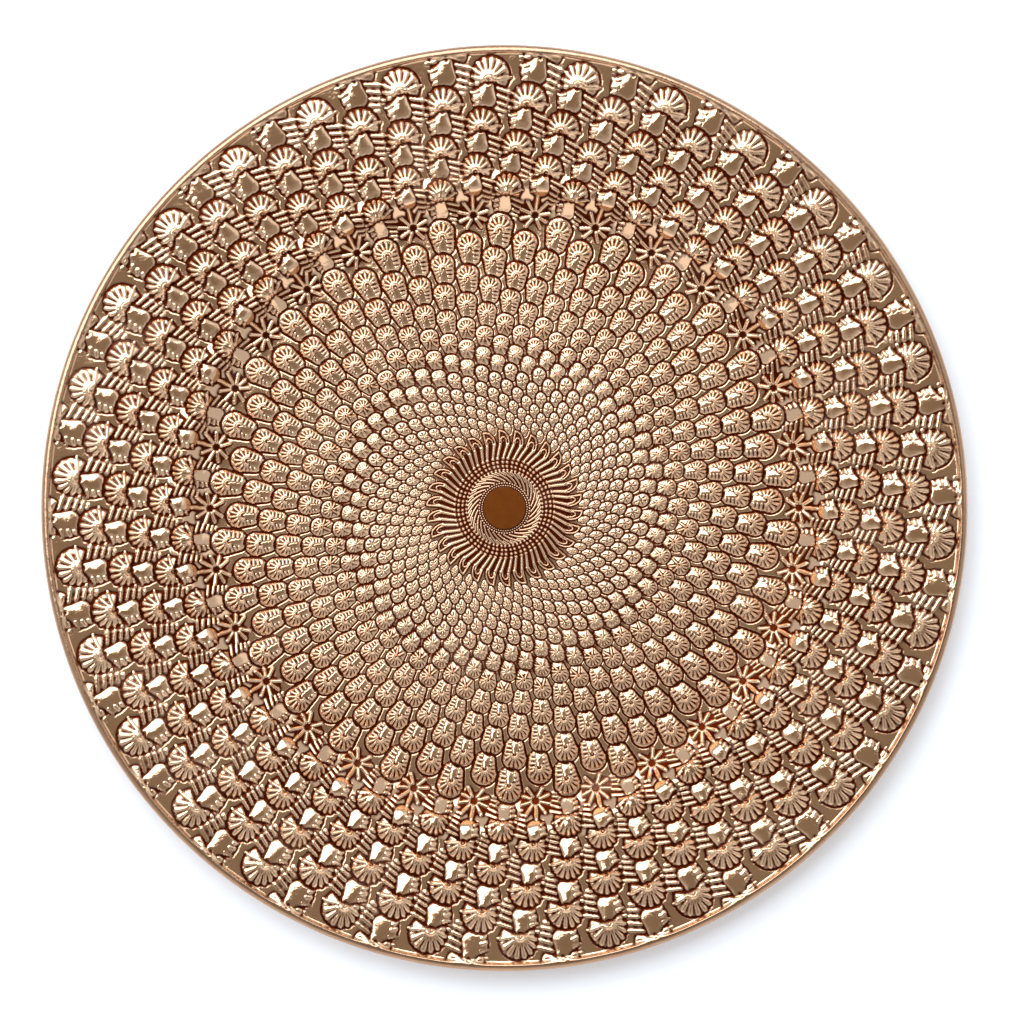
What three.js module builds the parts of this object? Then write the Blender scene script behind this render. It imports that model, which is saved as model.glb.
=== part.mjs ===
// Round copper tray, in millimetres, +Z up, with the origin at the middle of its underside.
//
// One sheet makes the flat well, the sloping cove round it and the gently rising rim. The sheet's
// edge is rolled down round a steel wire, which stiffens it. A small plain disc covers the centre.

import * as THREE from "three";

// Whole tray
const TRAY_RADIUS = 165;
const SHEET_THICKNESS = 0.9;
const FIT_GAP = 0.3; // clearance left between pieces that touch

// Well and cove
const COVE_INNER_RADIUS = 101.2; // where the floor of the well starts to turn up
const COVE_OUTER_RADIUS = 116; // where the wall has turned into the rim
const COVE_SLOPE = 42; // degrees from the floor
const FLOOR_BEND_RADIUS = 14;
const SHOULDER_BEND_RADIUS = 3;

// Rim and its rolled edge
const RIM_SLOPE = 5; // degrees from the floor
const WIRE_RADIUS = 0.75;
const ROLL_STEP = 19; // degrees, so that a step falls on the outermost point of the roll
const ROLL_STEPS = 14;

// Disc at the centre
const DISC_RADIUS = 7.6;
const DISC_THICKNESS = 0.8;
const DISC_CHAMFER = 0.2;

// Facets
const BEND_STEP = 14; // degrees of bend per facet, at most
const TURNED_SEGMENTS = 72; // facets round the tray's axis
const WIRE_FACETS = 12;

const ROLL_RADIUS = WIRE_RADIUS + FIT_GAP + SHEET_THICKNESS / 2; // at the middle of the sheet
const ROLL_CENTRE_RADIUS = TRAY_RADIUS - ROLL_RADIUS - SHEET_THICKNESS / 2;

const radians = THREE.MathUtils.degToRad;

// A path in the half plane of the section: x is the distance from the axis, y is the height.
// It keeps the direction the sheet runs in at every point, so that the faces can be offset.
class SectionPath {
  constructor(x, y) {
    this.x = x;
    this.y = y;
    this.heading = 0;
    this.points = [{ x, y, heading: 0 }];
  }

  mark() {
    this.points.push({ x: this.x, y: this.y, heading: this.heading });
  }

  runOutTo(x) {
    this.y += (x - this.x) * Math.tan(this.heading);
    this.x = x;
    this.mark();
  }

  // Turns by an angle in degrees, upwards when it is positive, along an arc.
  bend(radius, angle, steps = Math.ceil(Math.abs(angle) / BEND_STEP)) {
    const side = Math.sign(angle);
    const centreX = this.x - side * radius * Math.sin(this.heading);
    const centreY = this.y + side * radius * Math.cos(this.heading);
    const start = this.heading;
    for (let i = 1; i <= steps; i += 1) {
      this.heading = start + radians(angle) * (i / steps);
      this.x = centreX + side * radius * Math.sin(this.heading);
      this.y = centreY - side * radius * Math.cos(this.heading);
      this.mark();
    }
  }

  // The points of the face that lies a distance to the left of the path, looking along it.
  face(distance) {
    return this.points.map(({ x, y, heading }) =>
      new THREE.Vector2(x - distance * Math.sin(heading), y + distance * Math.cos(heading)));
  }
}

// The middle line of the sheet, from the axis of the tray to the lip of the rolled edge.
function sheetPath() {
  const shoulderWidth = SHOULDER_BEND_RADIUS
    * (Math.sin(radians(COVE_SLOPE)) - Math.sin(radians(RIM_SLOPE)));
  const path = new SectionPath(0, SHEET_THICKNESS / 2);
  path.runOutTo(COVE_INNER_RADIUS);
  path.bend(FLOOR_BEND_RADIUS, COVE_SLOPE);
  path.runOutTo(COVE_OUTER_RADIUS - shoulderWidth);
  path.bend(SHOULDER_BEND_RADIUS, RIM_SLOPE - COVE_SLOPE);
  path.runOutTo(ROLL_CENTRE_RADIUS - ROLL_RADIUS * Math.sin(radians(RIM_SLOPE)));
  path.bend(ROLL_RADIUS, -ROLL_STEP * ROLL_STEPS, ROLL_STEPS);
  return path;
}

// Turns a section round the tray's axis. Its points run so that the faces look outwards.
function turned(section) {
  const geometry = new THREE.LatheGeometry(section, TURNED_SEGMENTS);
  geometry.rotateX(Math.PI / 2);
  return geometry;
}

function sheetGeometry(path) {
  const top = path.face(SHEET_THICKNESS / 2);
  const underside = path.face(-SHEET_THICKNESS / 2);
  return turned([...underside, ...top.reverse()]);
}

function wireGeometry(centre) {
  const section = [];
  for (let i = 0; i <= WIRE_FACETS; i += 1) {
    const angle = (2 * Math.PI * i) / WIRE_FACETS;
    section.push(new THREE.Vector2(
      centre.x + WIRE_RADIUS * Math.cos(angle),
      centre.y + WIRE_RADIUS * Math.sin(angle),
    ));
  }
  return turned(section);
}

function discGeometry() {
  const bottom = SHEET_THICKNESS + FIT_GAP;
  const top = bottom + DISC_THICKNESS;
  return turned([
    new THREE.Vector2(0, bottom),
    new THREE.Vector2(DISC_RADIUS, bottom),
    new THREE.Vector2(DISC_RADIUS, top - DISC_CHAMFER),
    new THREE.Vector2(DISC_RADIUS - DISC_CHAMFER, top),
    new THREE.Vector2(0, top),
  ]);
}

// The middle of the roll: it lies square to the sheet where the roll starts.
function rollCentre(path) {
  const start = path.points[path.points.length - 1 - ROLL_STEPS];
  return {
    x: start.x + ROLL_RADIUS * Math.sin(start.heading),
    y: start.y - ROLL_RADIUS * Math.cos(start.heading),
  };
}

function piece(name, geometry, color, roughness) {
  const material = new THREE.MeshStandardMaterial({ color, metalness: 1, roughness });
  const mesh = new THREE.Mesh(geometry, material);
  mesh.name = name;
  return mesh;
}

function tray() {
  const path = sheetPath();
  const group = new THREE.Group();
  group.add(
    piece("tray_sheet", sheetGeometry(path), 0xb26a4a, 0.3),
    piece("rim_wire", wireGeometry(rollCentre(path)), 0x9a9b9c, 0.4),
    piece("centre_disc", discGeometry(), 0x8a4e26, 0.5),
  );
  return group;
}

export default tray();
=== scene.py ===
import math

import bpy
import numpy as np
from mathutils import Matrix, Vector


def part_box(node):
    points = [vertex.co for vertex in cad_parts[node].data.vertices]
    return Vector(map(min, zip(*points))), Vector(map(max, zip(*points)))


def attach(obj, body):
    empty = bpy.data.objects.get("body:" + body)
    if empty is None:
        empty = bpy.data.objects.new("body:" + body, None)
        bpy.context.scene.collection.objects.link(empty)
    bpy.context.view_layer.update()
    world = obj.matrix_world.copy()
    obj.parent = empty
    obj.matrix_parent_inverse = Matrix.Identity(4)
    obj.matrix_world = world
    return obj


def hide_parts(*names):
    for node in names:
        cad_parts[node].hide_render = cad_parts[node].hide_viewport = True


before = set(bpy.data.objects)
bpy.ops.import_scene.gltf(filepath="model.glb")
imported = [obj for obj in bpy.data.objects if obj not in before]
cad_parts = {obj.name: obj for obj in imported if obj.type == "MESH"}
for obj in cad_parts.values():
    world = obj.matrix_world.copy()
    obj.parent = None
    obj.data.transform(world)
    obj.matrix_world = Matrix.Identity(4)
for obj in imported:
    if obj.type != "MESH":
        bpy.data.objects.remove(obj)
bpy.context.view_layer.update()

# ---------------------------------------------------------------------------------------------
# The sheet's section, in metres. It repeats the CAD section with finer steps.
# ---------------------------------------------------------------------------------------------

SHEET_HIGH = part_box("tray_sheet")[1]
WIRE_LOW, WIRE_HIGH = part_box("rim_wire")
DISC_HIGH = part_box("centre_disc")[1]

TRAY_RADIUS = SHEET_HIGH.x
THICKNESS = 0.0009
COVE_INNER_RADIUS = 0.1012
COVE_OUTER_RADIUS = 0.116
COVE_SLOPE = math.radians(42)
FLOOR_BEND_RADIUS = 0.014
SHOULDER_BEND_RADIUS = 0.003
RIM_SLOPE = math.radians(5)
ROLL_SWEEP = math.radians(266)
ROLL_CENTRE_RADIUS = WIRE_HIGH.x - (WIRE_HIGH.z - WIRE_LOW.z) / 2
ROLL_RADIUS = TRAY_RADIUS - ROLL_CENTRE_RADIUS - THICKNESS / 2

# The embossed pattern repeats this many times round the tray.
REPEATS = 30
PITCH = 360 / REPEATS
GORES = 10


class SectionPath:
    """The middle line of the sheet in the half plane of its section, with the direction it runs in."""

    def __init__(self, x, z):
        self.x, self.z, self.heading = x, z, 0.0
        self.points = [(x, z, 0.0)]

    def mark(self):
        self.points.append((self.x, self.z, self.heading))

    def run_out_to(self, x, steps):
        start_x, start_z = self.x, self.z
        end_z = start_z + (x - start_x) * math.tan(self.heading)
        for share in steps:
            self.x = start_x + (x - start_x) * share
            self.z = start_z + (end_z - start_z) * share
            self.mark()

    def bend(self, radius, angle, count):
        side = math.copysign(1, angle)
        centre_x = self.x - side * radius * math.sin(self.heading)
        centre_z = self.z + side * radius * math.cos(self.heading)
        start = self.heading
        for i in range(1, count + 1):
            self.heading = start + angle * i / count
            self.x = centre_x + side * radius * math.sin(self.heading)
            self.z = centre_z - side * radius * math.cos(self.heading)
            self.mark()


def even_steps(count):
    return [i / count for i in range(1, count + 1)]


def steps_in_proportion(start, end, share):
    """Steps from one radius to a larger one, each as long as a share of the radius it's at."""
    count = max(1, round(math.log(end / start) / share))
    return [(start * (end / start) ** (i / count) - start) / (end - start) for i in range(1, count + 1)]


MIDDLE_HOLE_RADIUS = 0.0004  # hidden by the disc
INNER_PLAIN_RADIUS = DISC_HIGH.x - 0.001  # the pattern starts a little way under the disc

# Out to a radius: the columns of points round the whole tray, and a radial step over its radius.
BANDS = (
    (0.024, 720, 0.0072),
    (0.060, 1440, 0.0040),
    (COVE_INNER_RADIUS, 2880, 0.0030),
)
OUTER_COLUMNS = 2880
OUTER_STEP = 0.0027
COVE_STEP_LENGTH = 0.0003
ROLL_STEPS = 28


def section():
    """Stations along the sheet from the middle to the lip: x, z, heading and the columns round the tray."""
    path = SectionPath(0.0, THICKNESS / 2)
    columns = [BANDS[0][1]]
    path.run_out_to(INNER_PLAIN_RADIUS, [1.0])
    columns.append(BANDS[0][1])
    for end, count, step in BANDS:
        path.run_out_to(end, steps_in_proportion(path.x, end, step))
        columns += [count] * (len(path.points) - len(columns))
    floor_steps = round(FLOOR_BEND_RADIUS * COVE_SLOPE / COVE_STEP_LENGTH)
    path.bend(FLOOR_BEND_RADIUS, COVE_SLOPE, floor_steps)
    shoulder_width = SHOULDER_BEND_RADIUS * (math.sin(COVE_SLOPE) - math.sin(RIM_SLOPE))
    wall_end = COVE_OUTER_RADIUS - shoulder_width
    wall_steps = round((wall_end - path.x) / math.cos(COVE_SLOPE) / COVE_STEP_LENGTH)
    path.run_out_to(wall_end, even_steps(wall_steps))
    turn = RIM_SLOPE - COVE_SLOPE
    path.bend(SHOULDER_BEND_RADIUS, turn, round(-turn * SHOULDER_BEND_RADIUS / COVE_STEP_LENGTH))
    roll_start = ROLL_CENTRE_RADIUS - ROLL_RADIUS * math.sin(RIM_SLOPE)
    path.run_out_to(roll_start, steps_in_proportion(path.x, roll_start, OUTER_STEP))
    path.bend(ROLL_RADIUS, -ROLL_SWEEP, ROLL_STEPS)
    columns += [OUTER_COLUMNS] * (len(path.points) - len(columns))
    return np.array(path.points), np.array(columns)


# ---------------------------------------------------------------------------------------------
# The embossed pattern. It is drawn on a plane that maps the tray log-polar: u runs clockwise
# and v outwards, both in degrees, so that a shape there keeps its form and grows with the
# radius. Heights are in the same unit: a degree is the radius times pi / 180.
# ---------------------------------------------------------------------------------------------

FEATHER_RADIUS = 0.1611  # of the tops of the outermost whole row of feathers
ROW_RATIO = 0.9426  # each row's radius over that of the row outside it
ROW_SPACING = -math.degrees(math.log(ROW_RATIO))
ROW_TURN = 6.71  # degrees anticlockwise from each row to the next one in
FIRST_ROW_ANGLE = 8.0
RIM_ROWS = range(-1, 6)
COVE_ROW = 6
BARBED_ROWS = range(7, 14)
LEGGED_ROWS = range(14, 19)
SMALL_ROWS = range(19, 29)


def smooth_step(x):
    x = np.clip(x, 0.0, 1.0)
    return x * x * (3 - 2 * x)


def plane_height(radius):
    """Where a radius lies on the plane's v axis."""
    return np.degrees(np.log(radius / FEATHER_RADIUS))


def polar(angle, radius):
    """A point at a distance from the origin, at an angle clockwise from outward."""
    return radius * math.sin(math.radians(angle)), radius * math.cos(math.radians(angle))


def add(point, other):
    return point[0] + other[0], point[1] + other[1]


# A rib's ball and its trench, over the rib's own half width and height
BALL_WIDTH, BALL_HEIGHT = 1.35, 1.2
TRENCH_PLACE, TRENCH_WIDTH, TRENCH_DEPTH = 1.55, 0.6, 0.42
DOT_LENGTH = 3e-5  # taken for the length of a stroke that has none


class Plane:
    """A stretch of the plane with the height raised on it so far."""

    def __init__(self, clockwise, outward):
        self.u, self.v = clockwise, outward
        self.height = np.zeros_like(clockwise)


class Patch:
    """The part of the plane round one motif, as seen from the motif's own origin."""

    def __init__(self, plane, clockwise, outward, reach_in, reach_out):
        u = (plane.u - clockwise + PITCH / 2) % PITCH - PITCH / 2
        v = plane.v - outward
        self.plane = plane
        self.near = (v > -reach_in) & (v < reach_out)
        self.u, self.v = u[self.near], v[self.near]
        self.h = plane.height[self.near]

    def along(self, start, end):
        """How far each point is along a straight stroke, as a share, and how far away from it."""
        run, rise = end[0] - start[0], end[1] - start[1]
        share = (self.u - start[0]) * run + (self.v - start[1]) * rise
        share = np.clip(share / max(run * run + rise * rise, DOT_LENGTH**2), 0.0, 1.0)
        return share, np.hypot(self.u - start[0] - share * run, self.v - start[1] - share * rise)

    def distance(self, start, end):
        """How far each point is from a straight stroke."""
        return self.along(start, end)[1]

    def egg(self, top, bottom, top_radius, bottom_radius):
        """The distance inside a round-ended outline, negative outside it."""
        share, away = self.along(top, bottom)
        return top_radius + (bottom_radius - top_radius) * share - away

    def rod(self, start, end, half_width, height):
        """Lays a round bar with round ends on the ground, where nothing is higher."""
        away = self.distance(start, end) / half_width
        bar = height * (1 - np.minimum(away, 1.0) ** 2)
        self.h = np.where(away < 1, np.maximum(self.h, bar), self.h)

    def rib(self, start, end, half_width, height):
        """Raises a round bar from the surface, with a ball at its start and a trench along its sides."""
        away = self.distance(start, end) / half_width
        from_ball = np.hypot(self.u - start[0], self.v - start[1]) / (half_width * BALL_WIDTH)
        ball = BALL_HEIGHT * (1 - np.minimum(from_ball, 1.0) ** 2)
        bar = np.maximum(1 - np.minimum(away, 1.0) ** 2, ball)
        trench = np.clip(1 - np.abs(away - TRENCH_PLACE) / TRENCH_WIDTH, 0.0, 1.0)
        self.h = self.h + height * (bar - TRENCH_DEPTH * trench)

    def groove(self, distance, half_width, depth, where=1.0):
        """Cuts a V along the line where the distance is nought."""
        self.h = self.h - depth * where * np.clip(1 - np.abs(distance) / half_width, 0, 1)

    def done(self):
        """Puts the heights back on the plane."""
        self.plane.height[self.near] = self.h


def motif(plane, row, reach_in, reach_out):
    """The patch of a row's motif, whose origin is the motif's outermost point."""
    clockwise = -(FIRST_ROW_ANGLE + ROW_TURN * row)
    return Patch(plane, clockwise, -ROW_SPACING * row, reach_in, reach_out)


# Feathers on the rim: ribs that fan out over a hub, a smooth neck inwards of it, barbs on both sides.
HUB = (-0.1, -3.2)
FAN_TOP, FAN_BOTTOM, FAN_RADIUS = (0.25, -2.5), (0.2, -2.6), 2.5
FAN_REACH = 118  # degrees from outward, to both sides
FAN_FADE = 20  # degrees over which it sinks into the ground
FAN_FOOT, FAN_HEIGHT = 0.06, 0.95
FAN_RIB_DIRECTIONS = (-74, -50, -30, -10, 11, 32, 54)
NECK_TOP, NECK_TOP_RADIUS = (-0.3, -3.9), 1.15
NECK_END, NECK_END_RADIUS = (-0.75, -5.3), 1.9
NECK_HEIGHT = 0.65
COVE_NECK_HEIGHT = 0.3  # of the row that hangs over the cove
# A barb is where it starts, its length and its direction.
RIGHT_BARBS = (
    ((0.9, -4.2), 2.1, 109),
    ((1.0, -5.2), 1.7, 112),
    ((1.05, -6.2), 1.3, 111),
    ((1.1, -7.15), 1.0, 107),
    ((1.15, -8.0), 0.6, 102),
)
LEFT_BARBS = (
    ((-1.5, -3.6), 1.1, -86),
    ((-1.65, -4.5), 0.9, -100),
    ((-1.7, -5.4), 0.75, -110),
    ((-1.8, -6.2), 0.5, -118),
)


def crown(patch, inside, peak, bluntness):
    """Nought at the edge of an outline and 1 at a peak within it. The bluntest crown is round on top."""
    from_peak = np.hypot(patch.u - peak[0], patch.v - peak[1])
    rise = np.clip(inside, 0.0, None) / (from_peak + np.clip(inside, 0.01, None))
    return rise * (1 + bluntness * (1 - rise))


def fan_and_neck(patch, neck_height):
    """Facets climb from the edge to the hub. Inwards of it a round neck slopes down to its foot."""
    direction = np.degrees(np.arctan2(patch.u - HUB[0], patch.v - HUB[1]))
    fan_share = smooth_step((FAN_REACH - np.abs(direction)) / FAN_FADE)
    inside_fan = patch.egg(FAN_TOP, FAN_BOTTOM, FAN_RADIUS, FAN_RADIUS)
    fan = FAN_FOOT + FAN_HEIGHT * crown(patch, inside_fan, HUB, bluntness=0.25)
    patch.h = np.where(inside_fan > 0, fan_share * fan + (1 - fan_share) * patch.h, patch.h)
    inside_neck = patch.egg(NECK_TOP, NECK_END, NECK_TOP_RADIUS, NECK_END_RADIUS)
    neck = neck_height * crown(patch, inside_neck, HUB, bluntness=1.0)
    patch.h = np.where(inside_neck > 0, np.maximum(patch.h, neck), patch.h)
    from_notch = np.hypot(patch.u - HUB[0], patch.v - HUB[1] + 0.3)
    patch.groove(from_notch, half_width=0.5, depth=0.3)
    patch.groove(inside_fan, half_width=0.3, depth=0.16, where=fan_share)
    patch.groove(inside_neck, half_width=0.3, depth=0.12, where=1 - fan_share)


def rim_feather(plane, row):
    patch = motif(plane, row, reach_in=9.4, reach_out=0.6)
    for start, length, direction in RIGHT_BARBS:
        patch.rod(start, add(start, polar(direction, length)), 0.24, 0.2)
    fan_and_neck(patch, NECK_HEIGHT if row + 1 < COVE_ROW else COVE_NECK_HEIGHT)
    for direction in FAN_RIB_DIRECTIONS:
        reach = 2.15 + 0.75 * max(0.0, math.cos(math.radians(direction - 8)))
        patch.rib(add(HUB, polar(direction, 0.6)), add(HUB, polar(direction, reach)), 0.26, 0.2)
    patch.rib(add(HUB, polar(82, 0.9)), add(HUB, polar(82, 2.9)), 0.25, 0.2)
    for start, length, direction in LEFT_BARBS:
        patch.rib(start, add(start, polar(direction, length)), 0.22, 0.15)
    patch.done()


STAR_HUB = (0.2, -3.7)
STAR_BARS = 9
OUTWARD_BARS = (4, 5)  # these two are longer


def cove_star(plane, row):
    """The row on the steep cove has no fan, only thick bars round a hub."""
    patch = motif(plane, row, reach_in=9.2, reach_out=1.2)
    for i in range(STAR_BARS):
        direction = -145 + 37 * i
        length = 3.3 if i in OUTWARD_BARS else 2.8
        start = add(STAR_HUB, polar(direction, 1.0))
        patch.rod(start, add(STAR_HUB, polar(direction, length)), 0.38, 0.3)
    patch.done()


# Scales in the well
SCALE_HUB = (0.05, -3.85)
SCALE_TOP = 0.1  # how far clockwise its outline's top is
FOOT_SHARE = 0.85  # of its radius at the foot
SCALE_FOOT = 0.05  # how high its facets start
SCALE_RIB_DIRECTIONS = (-98, -73, -49, -26, -4, 18, 42, 68, 92)
SHORT_RIB_DIRECTIONS = (-75, -48, -22, 2, 26, 52, 80)
LEG_DIRECTIONS = (110, 152, 210)


def scale(patch, radius, foot, height, bluntness, edge=0.34):
    """A steep scale with a dark groove round it, whose facets climb to the hub: the distance inside it."""
    inside = patch.egg((SCALE_TOP, -radius), foot, radius, radius * FOOT_SHARE)
    crest = crown(patch, inside, SCALE_HUB, bluntness)
    patch.h = np.where(inside > 0, SCALE_FOOT + height * crest, patch.h)
    patch.groove(inside, half_width=edge, depth=edge * 0.65)
    return inside


def barbed_scale(plane, row):
    patch = motif(plane, row, reach_in=8.0, reach_out=0.6)
    radius = 2.82 + 0.03 * (row - BARBED_ROWS.start)
    scale(patch, radius, foot=(0.0, -5.4), height=0.85, bluntness=0.6)
    for direction in SCALE_RIB_DIRECTIONS:
        reach = 2.15 + 0.8 * max(0.0, math.cos(math.radians(direction)))
        start = add(SCALE_HUB, polar(direction, 0.7))
        patch.rib(start, add(SCALE_HUB, polar(direction, reach)), 0.28, 0.2)
    for i in range(3):
        start = (0.8 - 0.05 * i, -4.75 - 0.95 * i)
        patch.rib(start, add(start, polar(97, 1.5 - 0.25 * i)), 0.25, 0.17)
        dot = (-1.3 - 0.05 * i, -4.75 - 0.95 * i)
        patch.rib(dot, add(dot, polar(-110, 0.8 - 0.15 * i)), 0.24, 0.15)
    patch.done()


def legged_scale(plane, row):
    patch = motif(plane, row, reach_in=8.4, reach_out=0.6)
    radius = 3.0 + 0.03 * (row - LEGGED_ROWS.start)
    scale(patch, radius, foot=(0.1, -5.2), height=0.95, bluntness=0.3)
    for direction in SHORT_RIB_DIRECTIONS:
        start = add(SCALE_HUB, polar(direction, 0.6))
        patch.rib(start, add(SCALE_HUB, polar(direction, 2.5)), 0.3, 0.2)
    for direction in LEG_DIRECTIONS:
        start = add(SCALE_HUB, polar(direction, 0.3))
        patch.rib(start, add(SCALE_HUB, polar(direction, 2.9)), 0.34, 0.28)
    patch.done()


# Lines that part the facets of a small scale: their directions from the hub and their lengths.
FACET_LINES = ((-32, 1.8), (12, 2.3), (58, 2.3), (108, 1.9), (160, 2.2), (-110, 1.7))


def small_scale(plane, row):
    """Towards the middle the scales lean clockwise, with an upright left side and a sloping shoulder."""
    patch = motif(plane, row, reach_in=9.0, reach_out=1.5)
    lean = 0.1 + 0.35 * (row - SMALL_ROWS.start) / len(SMALL_ROWS)
    patch.v = patch.v + lean * np.clip(patch.u, -1.5, 3.0)
    inside = scale(patch, radius=3.05, foot=(0.3, -5.4), height=1.15, bluntness=0.3, edge=0.58)
    lines = [patch.distance(SCALE_HUB, add(SCALE_HUB, polar(*line_end))) for line_end in FACET_LINES]
    patch.groove(np.minimum.reduce(lines), half_width=0.5, depth=0.5, where=inside > 0)
    patch.done()


# The middle: hooked loops, the bars that hang from them, beads, slanting strokes and dots. Places here
# are degrees anticlockwise and radii in metres, on one repeat.
LOOP_OUTER = ((10.2, 0.0228), (9.8, 0.0279), (7.6, 0.0277), (5.4, 0.0271), (3.4, 0.0257), (2.3, 0.0241),
              (2.2, 0.0228))
LOOP_INNER = ((9.1, 0.0235), (9.0, 0.0249), (7.8, 0.0256), (6.2, 0.0256), (4.6, 0.0246), (3.9, 0.0228))
# Where the scales stop, round the outside of the loops
SCALES_END = ((0, 0.0250), (2.2, 0.0236), (3.4, 0.0262), (5.4, 0.0276), (7.6, 0.0282), (9.8, 0.0284),
              (10.4, 0.0262), (12, 0.0250))
BAR_TOP, BAR_END = 0.0230, 0.0180
BAR_LEAN = 4.3
BAR_TURNS = (9.7, 3.1)  # where the two bars of a repeat start
BEADS = ((0.0, 0.0180), (0.7, 0.0166), (0.7, 0.0151), (-0.4, 0.0137))  # turned on from the bar's end
STROKE_START, STROKE_FORK, STROKE_END = 0.0131, 0.0119, 0.0096
STROKE_SWEEP = -27.0
DOT_RADII = (0.0090, 0.0081)


def line(plane, places, half_width, height):
    """Lays a bar through the places, one straight stretch at a time."""
    for (turn, radius), (next_turn, next_radius) in zip(places, places[1:]):
        rise = plane_height(next_radius) - plane_height(radius)
        reach = half_width + 0.2
        patch = Patch(plane, -turn, plane_height(radius), reach + max(0, -rise), reach + max(0, rise))
        patch.rod((0.0, 0.0), (turn - next_turn, rise), half_width, height)
        patch.done()


def spread(start, end, count):
    """Places evenly spread from one place to another."""
    shares = [i / (count - 1) for i in range(count)]
    return [(start[0] + (end[0] - start[0]) * s, start[1] * (end[1] / start[1]) ** s) for s in shares]


def centre(plane):
    """Everything inside the scales."""
    radius_here = FEATHER_RADIUS * np.exp(np.radians(plane.v))
    turn = (-plane.u) % PITCH
    end = np.interp(turn, *zip(*SCALES_END))
    plane.height = np.where(radius_here < end, 0.0, plane.height)
    line(plane, LOOP_OUTER, 0.85, 0.85)
    line(plane, LOOP_INNER, 0.75, 0.75)
    for start_turn in BAR_TURNS:
        end_turn = start_turn + BAR_LEAN
        line(plane, spread((start_turn, BAR_TOP), (end_turn, BAR_END), 4), 1.35, 1.0)
        for turned_on, radius in BEADS:
            bead = (end_turn + turned_on, radius)
            line(plane, (bead, bead), 1.9, 1.4)
    line(plane, spread((8.0, STROKE_START), (8.0 + STROKE_SWEEP, STROKE_END), 9), 1.9, 1.3)
    line(plane, spread((1.5, STROKE_START), (1.5 + STROKE_SWEEP / 3, STROKE_FORK), 4), 1.5, 1.2)
    for i, radius in enumerate(DOT_RADII):
        for start_turn in (3.0 * i, 6 + 3.0 * i):
            line(plane, ((start_turn, radius), (start_turn, radius)), 2.0, 1.1)


def emboss(clockwise, outward):
    """The pattern's height at places on the plane, in degrees."""
    plane = Plane(clockwise, outward)
    for row in RIM_ROWS:
        rim_feather(plane, row)
    cove_star(plane, COVE_ROW)
    for row in BARBED_ROWS:
        barbed_scale(plane, row)
    for row in LEGGED_ROWS:
        legged_scale(plane, row)
    for row in SMALL_ROWS:
        small_scale(plane, row)
    centre(plane)
    return plane.height


# ---------------------------------------------------------------------------------------------
# The mesh
# ---------------------------------------------------------------------------------------------

# The rim's ground is sunk below the plain sheet, so that the relief on it stays under the edge.
RIM_SINK = 0.0012
SINK_START, SINK_END = 0.117, 0.121  # radii between which the ground goes down
PATTERN_END = 0.1624
SINK_EDGE = 0.0006  # over which the ground comes up again
TALLEST = 1.25  # degrees that the pattern rises
EDGE_SHADE = 0.45  # painted shade on the rolled edge: how far its colour goes towards the dark crease colour
DEEPEST_CUT = 0.00035  # below the ground
UNDERSIDE_SHARE = 0.5  # of the relief that shows on the other side of the sheet
LEAST_THICKNESS = 0.0003
TEXTURE_MARGIN = 0.01  # of the texture's width, left free all round
ROW_GAP = 1e-6  # added between the rows on the texture, so that no two fall together
UNDERSIDE_STEP = 3  # the underside keeps one row of points in so many
BLUR = 5  # points to each side, in the smoothed relief
CREASE_DEPTH = 0.042  # degrees below the smoothed relief where the painted crease shade and tarnish are full


class Row:
    """One ring of points of one repeat: where it is, how many points, their offsets and their painted shade
    and tarnish.
    """

    def __init__(self, station, count, offset, shade_and_tarnish):
        self.x, self.z, self.heading = station
        self.count = count
        self.offset, self.shade_and_tarnish = offset, shade_and_tarnish


def smoothed(heights):
    """Heights averaged over a square of points, round the ring and across the rings."""
    size = 2 * BLUR + 1
    wide = np.pad(heights, ((BLUR, BLUR), (0, 0)), mode="edge")
    wide = np.pad(wide, ((0, 0), (BLUR, BLUR)), mode="wrap")
    total = np.pad(wide.cumsum(0).cumsum(1), ((1, 0), (1, 0)))
    sums = total[size:, size:] - total[:-size, size:] - total[size:, :-size] + total[:-size, :-size]
    return sums / size**2


def embossed_stations(points):
    """Which stations carry the pattern: all from the plain middle to the start of the rolled edge."""
    x, heading = points[:, 0], points[:, 2]
    return (x > INNER_PLAIN_RADIUS * 0.99) & (heading > -0.01) & (x < PATTERN_END)


def sink(x):
    """How far the ground lies below the plain sheet."""
    down = smooth_step((x - SINK_START) / (SINK_END - SINK_START))
    return RIM_SINK * down * smooth_step((PATTERN_END - x) / SINK_EDGE)


def share_of_height(points):
    """How much of the relief fits under the tray's highest ring: less and less towards the edge."""
    level = points[:, 1] + THICKNESS / 2 * np.cos(points[:, 2])
    space = np.maximum(SHEET_HIGH.z - level, 0.0) + sink(points[:, 0])
    return np.minimum(space / (np.radians(points[:, 0]) * TALLEST), 1.0)


def relief_of(points, count):
    """The relief on the top and on the underside of one repeat, and the painted shade and tarnish of its
    creases.
    """
    x = points[:, 0]
    clockwise = -np.arange(count) * PITCH / count
    u, v = np.meshgrid(clockwise, plane_height(x))
    raised = emboss(u, v) * share_of_height(points)[:, None]
    soft = smoothed(raised)
    # Painted shade, with some tarnish: the deeper a point lies below the smoothed relief, the darker its
    # colour.
    shading = np.clip((soft - raised) / CREASE_DEPTH, 0.0, 1.0)
    unit = np.radians(x)[:, None]
    relief = np.maximum(raised * unit, -DEEPEST_CUT) - sink(x)[:, None]
    below = soft * unit * UNDERSIDE_SHARE - sink(x)[:, None]
    below = np.minimum(below, relief + THICKNESS - LEAST_THICKNESS)
    return relief, below, shading


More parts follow.
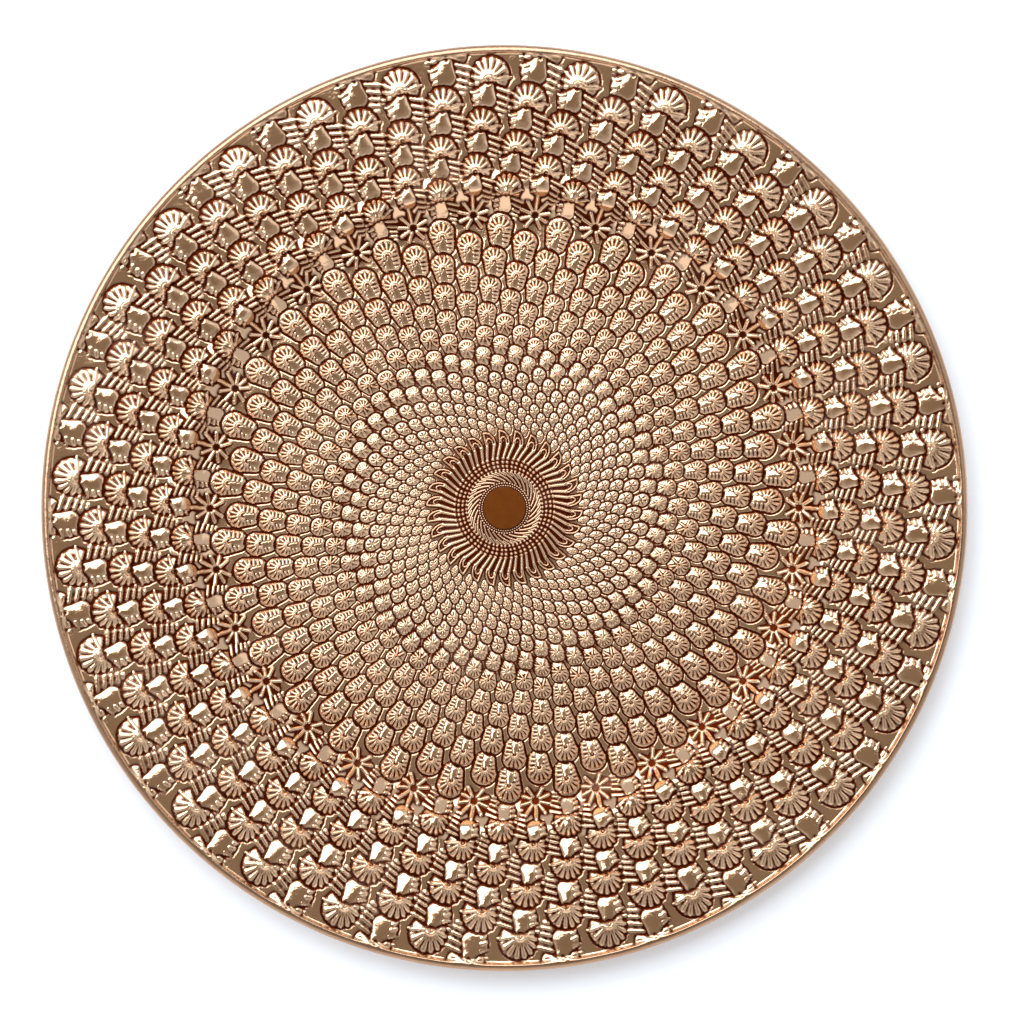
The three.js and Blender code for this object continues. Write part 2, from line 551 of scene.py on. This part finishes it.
def rows_of(points, columns):
    """The top and the underside rows of one repeat, from the middle out to the lip."""
    top, underside = [], []
    embossed = embossed_stations(points)
    start = 0
    while start < len(points):
        end = start
        while end < len(points) and columns[end] == columns[start] and embossed[end] == embossed[start]:
            end += 1
        count = columns[start] // REPEATS
        if embossed[start]:
            relief, below, shading = relief_of(points[start:end], count)
        else:
            relief = below = np.zeros((end - start, count))
            # The rolled edge gets an even painted shade; the plain middle gets none.
            shading = np.full((end - start, count), EDGE_SHADE if points[start, 0] > PATTERN_END else 0.0)
        for i, station in enumerate(points[start:end]):
            top.append(Row(station, count, THICKNESS / 2 + relief[i], shading[i]))
            underside.append(Row(station, count, below[i] - THICKNESS / 2, np.zeros(count)))
        start = end
    return top, underside


def thinned(rows):
    """Fewer rows, with half their points: the underside needs no more."""
    return [
        Row((row.x, row.z, row.heading), row.count // 2, row.offset[::2], row.shade_and_tarnish[::2])
        for i, row in enumerate(rows)
        if i % UNDERSIDE_STEP == 0 or i == len(rows) - 1
    ]


def gore_vertices(rows):
    """Coordinates, painted shade and tarnish, and texture places of one gore's vertices, and where each row
    starts.
    """
    coordinates, shade_and_tarnish, places, starts = [], [], [], [0]
    repeats = REPEATS // GORES
    travelled = 0.0
    for i, row in enumerate(rows):
        offset = np.append(np.tile(row.offset, repeats), row.offset[0])
        angle = np.linspace(0, 2 * math.pi / GORES, len(offset))
        radius = row.x - offset * math.sin(row.heading)
        level = np.clip(row.z + offset * math.cos(row.heading), 0.0, SHEET_HIGH.z)
        coordinates.append(np.stack([radius * np.cos(angle), radius * np.sin(angle), level], 1))
        shade_and_tarnish.append(np.append(np.tile(row.shade_and_tarnish, repeats), row.shade_and_tarnish[0]))
        if i:
            travelled += math.hypot(row.x - rows[i - 1].x, row.z - rows[i - 1].z) + ROW_GAP
        places.append(np.stack([angle * GORES / (2 * math.pi), np.full(len(angle), travelled)], 1))
        starts.append(starts[-1] + len(offset))
    places = np.concatenate(places)
    places[:, 1] /= travelled
    places = places * (1 - 2 * TEXTURE_MARGIN) + TEXTURE_MARGIN
    return np.concatenate(coordinates), np.concatenate(shade_and_tarnish), places, starts


def strip(a, b, n, m):
    """Faces between a row of n points from a and the next row, of m points from b.

    There are as many of them, twice as many or half as many. Gives quads and triangles.
    """
    k = np.arange(min(n, m) - 1)
    if n == m:
        return [np.stack([a + k, b + k, b + k + 1, a + k + 1], 1)], []
    if m > n:
        return [], [
            np.stack([a + k, b + 2 * k, b + 2 * k + 1], 1),
            np.stack([a + k, b + 2 * k + 1, a + k + 1], 1),
            np.stack([b + 2 * k + 1, b + 2 * k + 2, a + k + 1], 1),
        ]
    return [], [
        np.stack([a + 2 * k, b + k, a + 2 * k + 1], 1),
        np.stack([a + 2 * k + 1, b + k, b + k + 1], 1),
        np.stack([a + 2 * k + 1, b + k + 1, a + 2 * k + 2], 1),
    ]


def gore_faces(rows, starts):
    quads, triangles = [], []
    for i in range(len(rows) - 1):
        n, m = starts[i + 1] - starts[i], starts[i + 2] - starts[i + 1]
        fours, threes = strip(starts[i], starts[i + 1], n, m)
        quads += fours
        triangles += threes
    return np.concatenate(quads), np.concatenate(triangles)


def turned(vectors, angle):
    c, s = math.cos(angle), math.sin(angle)
    x, y, z = vectors.T
    return np.stack([c * x - s * y, s * x + c * y, z], 1)


def gore_normals(coordinates, quads, triangles, starts):
    """Normals averaged over the faces at each vertex, also over those of the gore next door."""
    normals = np.zeros_like(coordinates)
    for faces in (quads, triangles):
        a, b, c = (coordinates[faces[:, i]] for i in (0, 1, 2))
        d = coordinates[faces[:, -1]]
        facing = np.cross(c - a, d - b) if faces.shape[1] == 4 else np.cross(b - a, c - a)
        for corner in faces.T:
            for axis in range(3):
                normals[:, axis] += np.bincount(corner, facing[:, axis], len(normals))
    first, last = np.array(starts[:-1]), np.array(starts[1:]) - 1
    gore_angle = 2 * math.pi / GORES
    shared = normals[first] + turned(normals[last], -gore_angle)
    normals[first] = shared
    normals[last] = turned(shared, gore_angle)
    return normals / np.maximum(np.linalg.norm(normals, axis=1, keepdims=True), 1e-20)


def first_gore():
    """The sheet from the middle out over the top, round the lip and back in along the underside."""
    points, columns = section()
    points[0, 0] = MIDDLE_HOLE_RADIUS
    top, underside = rows_of(points, columns)
    rows = top + thinned(underside)[::-1]
    coordinates, shade_and_tarnish, places, starts = gore_vertices(rows)
    quads, triangles = gore_faces(rows, starts)
    mesh = bpy.data.meshes.new("gore")
    mesh.from_pydata(coordinates.tolist(), [], quads.tolist() + triangles.tolist())
    mesh.shade_smooth()
    # The painted shade and tarnish of the creases and the edge, kept on each vertex for the material.
    mesh.attributes.new("shade_and_tarnish", "FLOAT", "POINT").data.foreach_set("value", shade_and_tarnish.astype(np.float32))
    corners = np.empty(len(mesh.loops), np.int32)
    mesh.loops.foreach_get("vertex_index", corners)
    mesh.uv_layers.new(name="OFBake").uv.foreach_set("vector", places[corners].ravel().astype(np.float32))
    mesh.normals_split_custom_set_from_vertices(gore_normals(coordinates, quads, triangles, starts))
    return mesh


def tray_sheet():
    """The one sheet. It is cut into gores only to keep each mesh to a size that other tools can take."""
    first = first_gore()
    gores = []
    for i in range(GORES):
        mesh = first.copy()
        mesh.name = f"tray_sheet_gore_{i + 1:02d}"
        mesh.transform(Matrix.Rotation(2 * math.pi * i / GORES, 4, "Z"))
        gore = bpy.data.objects.new(mesh.name, mesh)
        bpy.context.scene.collection.objects.link(gore)
        gores.append(gore)
    bpy.data.meshes.remove(first)
    return gores


# ---------------------------------------------------------------------------------------------
# The metals
# ---------------------------------------------------------------------------------------------

CLEAN_COPPER = (0.91, 0.56, 0.335, 1)
# The copper where the painted shade and tarnish are full, deep in the creases.
SHADE_AND_TARNISH_COPPER = (0.07, 0.008, 0.001, 1)
DISC_COPPER = (0.178, 0.048, 0.0080, 1)
DISC_SHADE = (0.158, 0.040, 0.0062, 1)
STEEL = (0.60, 0.60, 0.58, 1)
STEEL_SHADE = (0.45, 0.44, 0.42, 1)


class Metal:
    """A metal material with helpers for its nodes."""

    def __init__(self, name):
        self.material = bpy.data.materials.new(name)
        self.material.use_nodes = True
        self.tree = self.material.node_tree
        self.shader = self.tree.nodes["Principled BSDF"]
        self.shader.inputs["Metallic"].default_value = 1.0
        self.place = self.tree.nodes.new("ShaderNodeTexCoord").outputs["Object"]

    def join(self, value, socket):
        self.tree.links.new(value, socket)

    def noise(self, scale, detail=3.0):
        node = self.tree.nodes.new("ShaderNodeTexNoise")
        node.inputs["Scale"].default_value = scale
        node.inputs["Detail"].default_value = detail
        self.join(self.place, node.inputs["Vector"])
        return node.outputs["Fac"]

    def attribute(self, name):
        node = self.tree.nodes.new("ShaderNodeAttribute")
        node.attribute_name = name
        return node.outputs["Fac"]

    def spread(self, value, low, high, from_low=0.3, from_high=0.7):
        """The value stretched from one range to another."""
        node = self.tree.nodes.new("ShaderNodeMapRange")
        self.join(value, node.inputs["Value"])
        limits = {"From Min": from_low, "From Max": from_high, "To Min": low, "To Max": high}
        for name, amount in limits.items():
            node.inputs[name].default_value = amount
        return node.outputs["Result"]

    def sum(self, first, second):
        node = self.tree.nodes.new("ShaderNodeMath")
        node.operation = "ADD"
        node.use_clamp = True
        self.join(first, node.inputs[0])
        self.join(second, node.inputs[1])
        return node.outputs["Value"]

    def colour(self, share, first, second):
        node = self.tree.nodes.new("ShaderNodeMix")
        node.data_type = "RGBA"
        self.join(share, node.inputs["Factor"])
        for socket, value in ((node.inputs["A"], first), (node.inputs["B"], second)):
            socket.default_value = value
        self.join(node.outputs["Result"], self.shader.inputs["Base Color"])

    def roughness(self, value):
        self.join(value, self.shader.inputs["Roughness"])

    def bump(self, value, depth):
        node = self.tree.nodes.new("ShaderNodeBump")
        node.inputs["Strength"].default_value = 1.0
        node.inputs["Distance"].default_value = depth
        self.join(value, node.inputs["Height"])
        self.join(node.outputs["Normal"], self.shader.inputs["Normal"])


def embossed_copper():
    """Bright copper on the open surfaces; in the creases painted shade with some tarnish, darker and
    duller.
    """
    metal = Metal("embossed_copper")
    # The painted crease shade and tarnish darken the colour and dull the surface.
    painted_shade = metal.attribute("shade_and_tarnish")
    clouds = metal.spread(metal.noise(38.0), -0.06, 0.10)
    metal.colour(metal.sum(painted_shade, clouds), CLEAN_COPPER, SHADE_AND_TARNISH_COPPER)
    polish = metal.spread(metal.noise(160.0), 0.08, 0.14)
    metal.roughness(metal.sum(polish, metal.spread(painted_shade, 0.0, 0.3, 0.0, 1.0)))
    metal.bump(metal.noise(260.0, 5.0), 0.0002)
    return metal.material


def dull_copper():
    metal = Metal("dull_copper")
    metal.colour(metal.spread(metal.noise(420.0), 0.0, 1.0), DISC_COPPER, DISC_SHADE)
    metal.roughness(metal.spread(metal.noise(700.0), 0.42, 0.55))
    metal.bump(metal.noise(2600.0, 4.0), 0.00002)
    return metal.material


def drawn_steel():
    metal = Metal("drawn_steel")
    metal.colour(metal.spread(metal.noise(300.0), 0.0, 1.0), STEEL, STEEL_SHADE)
    metal.roughness(metal.spread(metal.noise(800.0), 0.3, 0.42))
    metal.bump(metal.noise(2500.0, 4.0), 0.00001)
    return metal.material


def give(node_name, material):
    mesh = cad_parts[node_name].data
    mesh.materials.clear()
    mesh.materials.append(material)


copper = embossed_copper()
for gore in tray_sheet():
    gore.data.materials.append(copper)
    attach(gore, "root")
    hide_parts("tray_sheet")
give("centre_disc", dull_copper())
give("rim_wire", drawn_steel())

# ---------------------------------------------------------------------------------------------
# Floor, light and camera
# ---------------------------------------------------------------------------------------------

FLOOR_SIZE = 4
FLOOR_GAP = 0.0002  # keeps the floor just clear of the tray
FLOOR_GLOW = 0.2
PALE = (0.85, 0.85, 0.85, 1)
WALLS = (0.59, 0.65, 0.72, 1)
OVERHEAD = (0.255, 0.23, 0.195, 1)
WALLS_END, OVERHEAD_START = 0.74, 0.95  # the height of a direction there, with 1 for straight up
LIGHT_DISTANCE = 1.3
CAMERA_ASIDE = (0.0027, -0.0014)  # from the tray's axis
CAMERA_HEIGHT = 1.0115


def floor():
    bpy.ops.mesh.primitive_plane_add(size=FLOOR_SIZE, location=(0, 0, -FLOOR_GAP))
    plane = bpy.context.object
    plane.name = "floor"
    material = bpy.data.materials.new("pale_floor")
    material.use_nodes = True
    shader = material.node_tree.nodes["Principled BSDF"]
    shader.inputs["Base Color"].default_value = PALE
    shader.inputs["Roughness"].default_value = 0.9
    shader.inputs["Emission Color"].default_value = (1, 1, 1, 1)
    shader.inputs["Emission Strength"].default_value = FLOOR_GLOW
    plane.data.materials.append(material)


def soft_box(name, turn, lean, width, height, radiance, tint=(1, 1, 1)):
    """A rectangular light that faces the tray. turn is anticlockwise from +X, and lean is from overhead."""
    data = bpy.data.lights.new(name, "AREA")
    data.shape = "RECTANGLE"
    data.size, data.size_y = width, height
    data.energy = radiance * math.pi * width * height
    data.color = tint
    turn, lean = math.radians(turn), math.radians(lean)
    light = bpy.data.objects.new(name, data)
    light.location = LIGHT_DISTANCE * Vector(
        (math.sin(lean) * math.cos(turn), math.sin(lean) * math.sin(turn), math.cos(lean))
    )
    light.rotation_euler = (-light.location).to_track_quat("-Z", "Y").to_euler()
    bpy.context.scene.collection.objects.link(light)


def room():
    """The world: pale walls all round, and a darker ceiling over the tray."""
    world = bpy.data.worlds.new("studio")
    world.use_nodes = True
    nodes, links = world.node_tree.nodes, world.node_tree.links
    direction = nodes.new("ShaderNodeTexCoord").outputs["Generated"]
    parts = nodes.new("ShaderNodeSeparateXYZ")
    height = nodes.new("ShaderNodeMapRange")
    height.inputs["From Min"].default_value = WALLS_END
    height.inputs["From Max"].default_value = OVERHEAD_START
    colour = nodes.new("ShaderNodeMix")
    colour.data_type = "RGBA"
    colour.inputs["A"].default_value = WALLS
    colour.inputs["B"].default_value = OVERHEAD
    links.new(direction, parts.inputs["Vector"])
    links.new(parts.outputs["Z"], height.inputs["Value"])
    links.new(height.outputs["Result"], colour.inputs["Factor"])
    links.new(colour.outputs["Result"], nodes["Background"].inputs["Color"])
    bpy.context.scene.world = world


def studio():
    soft_box("key", turn=122, lean=34, width=1.6, height=1.0, radiance=3.8, tint=(0.90, 1.0, 1.12))
    soft_box("second_window", turn=35, lean=48, width=1.0, height=0.8, radiance=0.4, tint=(0.92, 1.0, 1.08))
    soft_box("front", turn=-90, lean=74, width=2.6, height=0.7, radiance=0.5)
    bpy.context.scene.view_settings.view_transform = "Standard"


def camera():
    data = bpy.data.cameras.new("camera")
    data.lens = 100
    seen_from = bpy.data.objects.new("camera", data)
    seen_from.location = (*CAMERA_ASIDE, SHEET_HIGH.z + CAMERA_HEIGHT)
    bpy.context.scene.collection.objects.link(seen_from)
    bpy.context.scene.camera = seen_from


floor()
room()
studio()
camera()
